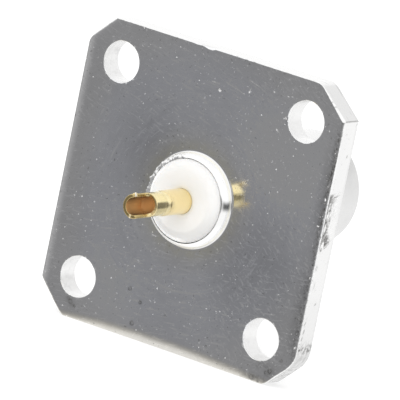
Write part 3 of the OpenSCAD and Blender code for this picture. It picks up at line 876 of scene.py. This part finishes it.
def collar_shift(i, p):
    rad = np.hypot(p[:, 0], p[:, 1])
    cx, cy = p[:, 0] / rad, p[:, 1] / rad
    if i == 0:
        p = rear_lift(p[:, :2])
    elif 3 <= i <= RIM_TO:
        turn = np.degrees(np.arctan2(cy, cx)) % 360
        zone = smooth(95, 115, turn) * smooth(205, 185, turn)
        n = fbm(cx * 17.0, cy * 17.0, p[:, 2] * 5.0, 401)
        up = smooth(0.35, 0.8, p[:, 2])
        burr = zone * smooth(0.12, 0.42, p[:, 2]) * smooth(0.9, 0.86, p[:, 2]) * np.clip(0.40 + 0.8 * n, 0, 1)
        outward = burr * np.clip(3.93 - rad, 0, None) - 0.004 * np.clip(fbm(cx * 5.0, cy * 5.0, p[:, 2] * 2.0, 402), 0, 1)
        inward = zone * (0.05 + 0.05 * np.clip(n + 0.5, 0, 1)) * max(0.0, 1 - 0.35 * (RIM_TO - i))
        s = 1 + (outward - inward) / rad
        p = np.stack([p[:, 0] * s, p[:, 1] * s, p[:, 2] - 0.03 * zone * up * np.clip(n, 0, 1)], 1)
    return p


def collar_wear(i, p):
    turn = np.degrees(np.arctan2(p[:, 1], p[:, 0])) % 360
    n = fbm(p[:, 0] * 5.0, p[:, 1] * 5.0, p[:, 2] * 7.0, 403)
    zone = smooth(100, 118, turn) * smooth(200, 185, turn)
    if not 3 <= i <= RIM_TO:
        return np.zeros(len(p))
    return np.clip(zone * np.clip(n * 2.0 - 0.15, 0, 1) * 0.40, 0, 1)


def collar_glint(i, p):
    turn = np.degrees(np.arctan2(p[:, 1], p[:, 0])) % 360
    zone = smooth(98, 112, turn) * smooth(205, 190, turn)
    if not 3 <= i <= RIM_TO:
        return np.zeros(len(p))
    # painted light: the rim's lower left is painted pale and matte
    pale = 0.6 * smooth(198, 212, turn) * smooth(285, 262, turn) * smooth(0.40, 0.6, p[:, 2])
    return np.maximum(pale, zone * smooth(0.22, 0.42, fbm(p[:, 0] * 6.5, p[:, 1] * 6.5, p[:, 2] * 7.0, 404)))


body.lathe(prof, TURN_N, shift=collar_shift, wear_and_painted_light=collar_wear, glint=collar_glint)
# shoulder
body.lathe([(BARREL_R, SHOULDER_Z), (5.38, SHOULDER_Z), (5.42, SHOULDER_Z + 0.01), (5.69, SHOULDER_Z + 0.28), (SHOULDER_R, SHOULDER_Z + 0.32),
            (SHOULDER_R, SHOULDER_Z + 1.2), (SHOULDER_R, -T - 1.0), (SHOULDER_R, -T - 0.1), (SHOULDER_R + 0.03, -T - 0.03), (NECK, -T)], TURN_N)

# barrel between the rim and the shoulder, unrolled, with the feet of two lugs
face = Flat()
z0, z1 = BARREL_TOP, SHOULDER_Z
half_turn = math.pi * BARREL_R
start = -half_turn / 2
low = [(start + i * 2 * half_turn / TURN_N, z0) for i in range(TURN_N + 1)]
high = [(start + i * 2 * half_turn / TURN_N, z1) for i in range(TURN_N + 1)]
between = [z0 + (z1 - z0) * j / 12 for j in range(1, 12)]
right_side = [(low[-1][0], q) for q in between]
left_side = [(low[0][0], q) for q in between]
face.loop(low + right_side + high[::-1] + left_side[::-1])
LUG_R, LUG_Z, LUG_FOOT = 1.0, RIM_Z + 5.23, 1.09
la = np.arange(56) * 2 * math.pi / 56
for cen in (0.0, half_turn):
    face.loop(np.stack([cen + BARREL_R * np.arcsin(LUG_FOOT * np.cos(la) / BARREL_R), LUG_Z + LUG_FOOT * np.sin(la)], 1))
for q in between:
    for i in range(1, TURN_N):
        s = start + i * 2 * half_turn / TURN_N
        if min(math.hypot(s - c, q - LUG_Z) for c in (0.0, half_turn)) > LUG_FOOT + 0.12:
            face.free((s, q))
for cen in (0.0, half_turn):
    for rad in (1.2, 1.4):
        for t in la[::2]:
            face.free((cen + rad * math.cos(t), LUG_Z + rad * math.sin(t)))


def roll(v2):
    a = v2[:, 0] / BARREL_R
    return np.stack([BARREL_R * np.cos(a), BARREL_R * np.sin(a), v2[:, 1]], 1)


body.fill(face, roll)
for sgn in (1, -1):
    rows = []
    for rad, out in ((LUG_FOOT, None), (1.025, 0.025), (1.0, 0.09), (1.0, 0.3)):
        t, q = rad * np.cos(la), rad * np.sin(la)
        xx = np.sqrt(BARREL_R ** 2 - t * t) + (out or 0.0)
        rows.append(body.add(np.stack([sgn * xx, sgn * t, LUG_Z + q], 1)))
    for rad, xx in ((1.0, 5.36), (0.985, 5.42), (0.94, 5.475), (0.87, 5.505), (0.78, 5.51), (0.4, 5.51), (0.1, 5.51)):
        rows.append(body.add(np.stack([np.full(56, sgn * xx), sgn * rad * np.cos(la), LUG_Z + rad * np.sin(la)], 1)))
    body.grid(np.array(rows))
    body.f.append(tuple(rows[-1].tolist()))
shell = body.make("plated_body", m_plate, "shell", 42.0)

# ------------------------------------------------------------------ insulators
def ripple(r0, z0, r1, z1, n, amp, seed):
    """Points from one profile point to the next with faint turning marks across."""
    out = []
    for i in range(n + 1):
        t = i / n
        r_, z_ = r0 + (r1 - r0) * t, z0 + (z1 - z0) * t
        out.append((r_, z_ - amp * (0.5 + 0.5 * float(vnoise(i * 0.9, seed, 0, 501))) * math.sin(math.pi * t)))
    return out


JOIN = RIM_Z + 11.6
CROWN_H, CROWN_FLAT, CROWN_R, CROWN_EDGE = 1.46, 2.45, 3.43, 0.85
fall, run = CROWN_H - CROWN_EDGE, CROWN_R - CROWN_FLAT
cr_ = (run * run + fall * fall) / (2 * fall)
prof = [(1.062, JOIN + 0.6), (1.062, 1.42), (1.064, 1.45), (1.075, CROWN_H - 0.002)]
prof += ripple(1.14, CROWN_H, CROWN_FLAT, CROWN_H, 18, 0.004, 3.0)
a_end = math.asin(run / cr_)
for i in range(1, 15):
    a = a_end * i / 14
    prof.append((CROWN_FLAT + cr_ * math.sin(a), CROWN_H - cr_ + cr_ * math.cos(a) - 0.002 * (i % 2)))
prof += [(CROWN_R, CROWN_EDGE - 0.12), (CROWN_R, 0.25), (3.48, 0.15), (3.48, -3.0), (3.48, JOIN + 0.1), (3.40, JOIN), (1.63, JOIN), (1.63, JOIN + 0.6)]
rear_i = Build()
rear_i.lathe(prof + [prof[0]], 144)
rear_i.make("crown_insulator", m_ptfe, "rear_insulator", 45.0)

NOSE_R, NOSE_Z, BACK = 2.36, RIM_Z + 1.2, RIM_Z + 9.0
prof = [(1.26, NOSE_Z + 0.06), (1.30, NOSE_Z + 0.01)]
prof += ripple(1.36, NOSE_Z, NOSE_R - 0.27, NOSE_Z, 8, -0.004, 5.0)
for t in np.linspace(0, 90, 8):
    prof.append((NOSE_R - 0.25 + 0.25 * math.sin(math.radians(t)), NOSE_Z + 0.25 - 0.25 * math.cos(math.radians(t))))
prof += [(NOSE_R, NOSE_Z + 3.0), (NOSE_R, NOSE_Z + 6.0), (NOSE_R, BACK - 0.02), (NOSE_R + 0.05, BACK), (3.42, BACK), (3.48, BACK + 0.06),
         (3.48, JOIN - 0.08), (3.40, JOIN), (1.11, JOIN), (1.11, NOSE_Z + 5.2), (1.26, NOSE_Z + 5.1), (1.26, NOSE_Z + 2.5)]
front_i = Build()
front_i.lathe(prof + [prof[0]], 120)
front_i.make("nose_insulator", m_ptfe, "front_insulator", 45.0)

# ------------------------------------------------------------------ gilt contact
STEM_R, STEM_H, CUP_R, CUP_IN, CUP_H = 1.06, 4.65, 0.995, 0.70, 8.47
CUT_Z, CUT_SET, CUT_TURN, CUP_FLOOR = CUP_H - 2.0, 0.12, math.radians(20.0), CUP_H - 2.0 - 0.45
SOCK_R, SOCK_IN, SOCK_Z, SOCK_FLOOR, SLIT_LEN, SLIT_W = 1.1, 0.69, RIM_Z + 1.5, RIM_Z + 6.7, 4.2, 0.2
CN = 108


def rounded_path(points, radii, step):
    """An open path with rounded corners, as close points."""
    out = [np.array(points[0], float)]
    for i in range(1, len(points) - 1):
        A, B, C = (np.array(points[j], float) for j in (i - 1, i, i + 1))
        a, c = (A - B) / np.linalg.norm(A - B), (C - B) / np.linalg.norm(C - B)
        half = math.acos(max(-1.0, min(1.0, float(a @ c)))) / 2
        rad = radii[i - 1]
        if rad < 1e-6:
            out.append(B)
            continue
        p0, p1 = B + a * rad / math.tan(half), B + c * rad / math.tan(half)
        cen = B + (a + c) / np.linalg.norm(a + c) * rad / math.sin(half)
        a0, a1 = math.atan2(*(p0 - cen)[::-1]), math.atan2(*(p1 - cen)[::-1])
        while a1 - a0 > math.pi:
            a1 -= 2 * math.pi
        while a1 - a0 < -math.pi:
            a1 += 2 * math.pi
        for t in np.linspace(a0, a1, 9):
            out.append(cen + rad * np.array([math.cos(t), math.sin(t)]))
    out.append(np.array(points[-1], float))
    dense = [out[0]]
    for p, q in zip(out[:-1], out[1:]):
        n = max(1, int(math.ceil(np.linalg.norm(q - p) / step)))
        dense += [p + (q - p) * t for t in np.arange(1, n + 1) / n]
    return np.array(dense)


def tube_wall(bld, rim, z_base, r_in, r_out, turn, lip, rise, burr=None):
    """A tube's wall from z_base to a free rim, given unrolled as (arc at mid radius, z); the rim is rounded."""
    rm = (r_in + r_out) / 2
    half = math.pi * rm
    wall = Flat()
    up = 1 if rim[0][1] > z_base else -1
    base_row = [(-half + i * 2 * half / CN, z_base) for i in range(CN + 1)]
    n_side = max(2, int(abs(rim[0][1] - z_base) / 0.1))
    seam = [abs(rim[0][1] - z_base) * j / n_side for j in range(1, n_side)]
    seam = [q for q in seam if q < abs(rim[0][1] - z_base) - 1.8 * lip] + [abs(rim[0][1] - z_base) - q * lip for q in (1.5, 1.0, 0.65, 0.35, 0.15, 0.04)]
    right_ = [(half, z_base + up * q) for q in seam]
    left_ = [(-half, z_base + up * q) for q in seam]
    ring = base_row + right_ + [tuple(p) for p in rim[::-1]] + left_[::-1]
    wall.loop(ring)
    poly = np.array(ring)
    fr = []
    seg = np.diff(rim, axis=0)
    tan = np.vstack([seg[:1], (seg[1:] + seg[:-1]) / 2, seg[-1:]])
    tan /= np.linalg.norm(tan, axis=1)[:, None]
    nin = np.stack([tan[:, 1], -tan[:, 0]], 1) * up
    for off in (0.04, 0.15, 0.35, 0.65, 1.0, 1.5):
        fr.append(rim + nin * off * lip)
    zs = np.arange(0.05, abs(max(rim[:, 1], key=lambda q: up * q) - z_base), rise)
    gs, gz = np.meshgrid(np.arange(1, CN) * 2 * half / CN - half, z_base + up * zs)
    fr.append(np.stack([gs.ravel(), gz.ravel()], 1))
    fr = np.concatenate(fr)
    dd, _ = near(fr[:, 0], fr[:, 1], rim)
    ok = inside(fr[:, 0], fr[:, 1], poly) & (dd > 0.03 * lip) & (np.abs(fr[:, 0]) < half - 0.01) & (np.abs(fr[:, 1] - z_base) > 0.02)
    fr, dd = fr[ok], dd[ok]
    cell = np.round(fr / (0.3 * lip)).astype(np.int64)
    far = dd > 1.2 * lip
    _, first = np.unique(np.where(far, cell[:, 0] * 100003 + cell[:, 1], -1 - np.arange(len(fr))), return_index=True)
    wall.free(fr[np.sort(first)])

    def lift(sign):
        def go(v2):
            d, who = near(v2[:, 0], v2[:, 1], rim)
            d = np.where(d < 1e-5, 0, d)
            q = np.clip(1 - d / lip, 0, 1)
            hth = (r_out - r_in) / 2 * np.clip(1 - q ** 4, 0, 1) ** 0.25
            a = v2[:, 0] / rm + turn
            rr_ = rm + sign * hth
            zz = v2[:, 1].copy()
            if burr is not None:
                rr_, zz = burr(v2, rr_, zz, sign, d)
            return np.stack([rr_ * np.cos(a), rr_ * np.sin(a), zz], 1)
        return go

    def rim_glints(v2):
        d, _ = near(v2[:, 0], v2[:, 1], rim)
        return np.zeros(len(v2)) if burr is None else burr_glint(v2, d)

    def cut_face(v2):
        d, _ = near(v2[:, 0], v2[:, 1], rim)
        return smooth(0.5 * lip, 0.1 * lip, d)

    bld.fill(wall, lift(1), rim_glints, cut_face)
    bld.fill(wall, lift(-1), rim_glints, cut_face)


BURRS = [(1.25, 8.10, 0.27, 0.13), (1.14, 7.98, 0.09, 0.05), (-1.75, 8.42, 0.12, 0.06)]


def cup_burr(v2, rr_, zz, sign, d):
    for s, q, rad, big in BURRS:
        e = np.exp(-((v2[:, 0] - s) ** 2 + (v2[:, 1] - q) ** 2) / rad ** 2) * (d < 0.2)
        n = vnoise(v2[:, 0] * 14, v2[:, 1] * 14, 0, 601)
        rr_ = rr_ + sign * 0.0 + e * big * (0.6 + 0.6 * n)
    return rr_, zz


def burr_glint(v2, d):
    g = np.zeros(len(v2))
    for s, q, rad, big in BURRS:
        g = np.maximum(g, np.exp(-((v2[:, 0] - s) ** 2 + (v2[:, 1] - q) ** 2) / (0.8 * rad) ** 2) * smooth(0.16, 0.04, d))
    # painted highlight: a bright band round one corner of the cut's lower end
    g = np.maximum(g, 0.58 * np.exp(-((v2[:, 0] + 0.8) ** 2 / 0.45 ** 2 + (v2[:, 1] - CUT_Z - 0.1) ** 2 / 0.40 ** 2)) * smooth(0.09, 0.03, d))
    return g


gilt = Build()
rm = (CUP_R + CUP_IN) / 2
half = math.pi * rm
sa = rm * math.acos(CUT_SET / rm)
path = [(-half, CUP_H), (-sa, CUP_H), (-sa, CUT_Z), (sa, CUT_Z), (sa, CUP_H), (half, CUP_H)]
rim = rounded_path(path, [0.16, 0.34, 0.34, 0.16], 0.05)
CUP_BASE = CUT_Z - 0.14
tube_wall(gilt, rim, CUP_BASE, CUP_IN, CUP_R, CUT_TURN, 0.075, 0.1, cup_burr)
TURN0 = CUT_TURN - math.pi
gilt.lathe([(CUP_IN * math.cos(t), CUP_BASE - (CUP_BASE - CUP_FLOOR) * math.sin(t)) for t in np.linspace(0, math.radians(82), 14)], CN, TURN0)
floor_rows = gilt.n
gilt.f.append(tuple(range(floor_rows - CN, floor_rows)))
outer = [(CUP_R, CUP_BASE), (CUP_R, 5.9), (CUP_R, 5.6), (CUP_R, 5.3)]
for t in np.linspace(0, 1, 17):
    outer.append((CUP_R + (STEM_R - CUP_R) * float(smooth(0, 1, t)), STEM_H + 0.30 - 0.62 * t))
outer += [(STEM_R, 3.4), (STEM_R, 2.4), (STEM_R, 1.5), (STEM_R, 0.0), (STEM_R, JOIN + 0.6), (1.58, JOIN + 0.6), (1.6, JOIN + 0.58), (1.6, JOIN + 0.02), (1.58, JOIN),
         (SOCK_R, JOIN), (SOCK_R, SOCK_Z + 5.6), (SOCK_R, SOCK_FLOOR - 0.2)]
gilt.lathe(outer, CN, TURN0)
SOCK_BASE = SOCK_FLOOR - 0.2
rm2 = (SOCK_R + SOCK_IN) / 2
half2 = math.pi * rm2
slit_end = SOCK_Z + SLIT_LEN
pts_ = [(-half2, SOCK_Z)]
rads = []
for i in range(4):
    c = -half2 + (i + 0.5) * half2 / 2
    pts_ += [(c - SLIT_W / 2, SOCK_Z), (c - SLIT_W / 2, slit_end), (c + SLIT_W / 2, slit_end), (c + SLIT_W / 2, SOCK_Z)]
    rads += [0.06, 0.08, 0.08, 0.06]
pts_.append((half2, SOCK_Z))
rim2 = rounded_path(pts_, rads, 0.07)
tube_wall(gilt, rim2, SOCK_BASE, SOCK_IN, SOCK_R, 0.0, 0.05, 0.3)
gilt.lathe([(SOCK_IN, SOCK_BASE), (SOCK_IN, SOCK_FLOOR - 0.05), (0.6, SOCK_FLOOR), (0.35, SOCK_FLOOR + 0.1), (0.1, SOCK_FLOOR + 0.18)], CN, -math.pi)
gilt.f.append(tuple(range(gilt.n - CN, gilt.n)))
gilt.make("solder_contact", m_gold, "centre_contact", 62.0)

# ------------------------------------------------------------------ stage
floor_z = -0.01267
bpy.ops.mesh.primitive_plane_add(size=4.0, location=(0, 0, floor_z - 0.00002))
floor = bpy.context.object
floor.name = "floor"
fm, k, b = new_mat("floor")
tc = k.nt.nodes.new("ShaderNodeTexCoord")
k.put(b.inputs["Base Color"], k.tint((0.60, 0.60, 0.60), k.range(k.noise(tc.outputs["Object"], 30.0, 3.0), 0.2, 0.8, 0.985, 1.01, "LINEAR")))
b.inputs["Roughness"].default_value = 0.9
b.inputs["Specular IOR Level"].default_value = 0.1
b.inputs["Emission Color"].default_value = (1.0, 1.0, 1.0, 1.0)
b.inputs["Emission Strength"].default_value = 0.52
floor.data.materials.append(fm)
floor.visible_glossy = False

# ------------------------------------------------------------------ world: white studio with a dark card seen by the plate
world = bpy.data.worlds.new("studio")
scene.world = world
world.use_nodes = True
nt = world.node_tree
for n in list(nt.nodes):
    nt.nodes.remove(n)
out = nt.nodes.new("ShaderNodeOutputWorld")
bg = nt.nodes.new("ShaderNodeBackground")
nt.links.new(bg.outputs[0], out.inputs[0])
bg.inputs["Strength"].default_value = 1.0
k = Net(nt)
tc = nt.nodes.new("ShaderNodeTexCoord")
d = tc.outputs["Generated"]
dx, dy, dz = k.sep(d)
light = k.add(
    1.065,
    k.mul(k.range(dz, 0.92, 0.99), -0.05),
    k.mul(k.range(dz, 0.04, -0.18), k.range(dz, -0.76, -0.52), k.range(dy, -0.70, -0.45), k.range(dx, -0.2, 0.4, -0.09, -0.05)),
)
# back wall
behind = k.range(dy, -0.45, -0.78)
back_up = k.mul(k.range(dz, 0.20, 0.45), k.range(dx, 0.25, 0.0))
back_low = k.range(dz, -0.24, -0.52)
light = k.add(light, k.mul(behind, k.add(-0.055, k.mul(back_up, -0.13), k.mul(back_low, -0.07), k.mul(k.range(dx, 0.2, 0.5), 0.03))))
# grey walls on both sides of the dark card, low down, where only the flat rear face sees them
side_on = Vector((-0.51, 0.837, 0.198)).normalized()
hx, hy, hz = k.sep(k.vmath("NORMALIZE", k.vmath("ADD", d, tuple(side_on))))
wall = k.mul(k.range(hy, 0.83, 0.91), k.range(dz, 0.16, -0.06))
val = k.add(k.mul(light, k.add(1.0, k.mul(wall, -1.0))), k.mul(wall, k.range(dz, -0.66, -0.28, 0.80, 0.36)))
# the card itself
card = Vector((0.51, 0.837, -0.13)).normalized()
near_card = k.vmath("DOT_PRODUCT", d, tuple(card))
mask = k.mul(k.range(near_card, 0.86, 0.962), k.range(dz, -0.62, -0.26))
fade = k.mul(k.range(k.math("ARCTAN2", dx, dy), 0.597, 0.84), k.range(dz, -0.50, -0.35))
val = k.add(k.mul(val, k.add(1.0, k.mul(mask, -1.0))), k.mul(mask, k.add(0.246, k.mul(fade, 0.16))))
# dark stand in front, and the dark bar beside it that marks the collar
front = Vector((-0.54, 0.84, 0.0)).normalized()
stand = k.range(k.vmath("DOT_PRODUCT", d, tuple(front)), 0.94, 0.978)
about = k.math("ARCTAN2", k.mul(dx, -1.0), dy)
bar = k.mul(k.range(about, 0.62, 1.25), k.range(about, 1.95, 1.70), k.range(k.math("ABSOLUTE", k.add(dz, -0.01)), 0.22, 0.03))
dark = k.math("MAXIMUM", stand, bar)
val = k.add(k.mul(val, k.add(1.0, k.mul(dark, -1.0))), k.mul(dark, k.range(stand, 0.0, 1.0, 0.12, 0.19)))
strip = k.mul(k.range(k.math("ABSOLUTE", dx), 0.45, 0.60), k.range(dz, 0.03, 0.10), k.range(dz, 0.38, 0.28), k.range(dy, -0.80, -0.70), k.range(k.add(dy, k.range(dx, 0.2, -0.2, 0.0, 0.62)), 0.22, 0.08))
val = k.mul(val, k.add(1.0, k.mul(strip, -0.50)))
bg_col = nt.nodes.new("ShaderNodeCombineColor")
low = k.mul(k.range(dz, -0.25, -0.55), k.range(dy, -0.5, -0.1), k.range(dx, 0.15, 0.42))
k.put(bg_col.inputs[0], k.add(val, k.mul(low, 0.008)))
k.put(bg_col.inputs[1], k.add(val, k.mul(low, -0.014)))
k.put(bg_col.inputs[2], k.add(val, k.mul(mask, 0.006), k.mul(low, -0.064)))
nt.links.new(bg_col.outputs[0], bg.inputs["Color"])


# ------------------------------------------------------------------ lights
def area(name, pos, target, size, power):
    lt = bpy.data.lights.new(name, "AREA")
    lt.energy = power
    lt.size = size
    o = bpy.data.objects.new(name, lt)
    scene.collection.objects.link(o)
    o.location = pos
    o.rotation_euler = (Vector(target) - Vector(pos)).to_track_quat("-Z", "Y").to_euler()
    return o


key = area("key", (-0.12, 0.42, 0.60), (0, 0, 0), 0.50, 1.3)
key.visible_glossy = False

# ------------------------------------------------------------------ camera
cam_data = bpy.data.cameras.new("camera")
cam_data.sensor_width = 36.0
cam_data.lens = 686.72
cam_data.clip_start = 0.05
cam_data.clip_end = 20.0
cam = bpy.data.objects.new("camera", cam_data)
scene.collection.objects.link(cam)
right = Vector((-0.81578979, -0.54356509, 0.19754497))
up = Vector((0.27287863, -0.06060214, 0.96013782))
back = Vector((-0.50992575, 0.83717643, 0.1977659))
rot = Matrix((right, up, back)).transposed().to_4x4()
cam.matrix_world = Matrix.Translation(Vector((-0.31611867, 0.51756926, 0.12251893))) @ rot
scene.camera = cam
scene.view_settings.view_transform = "Standard"
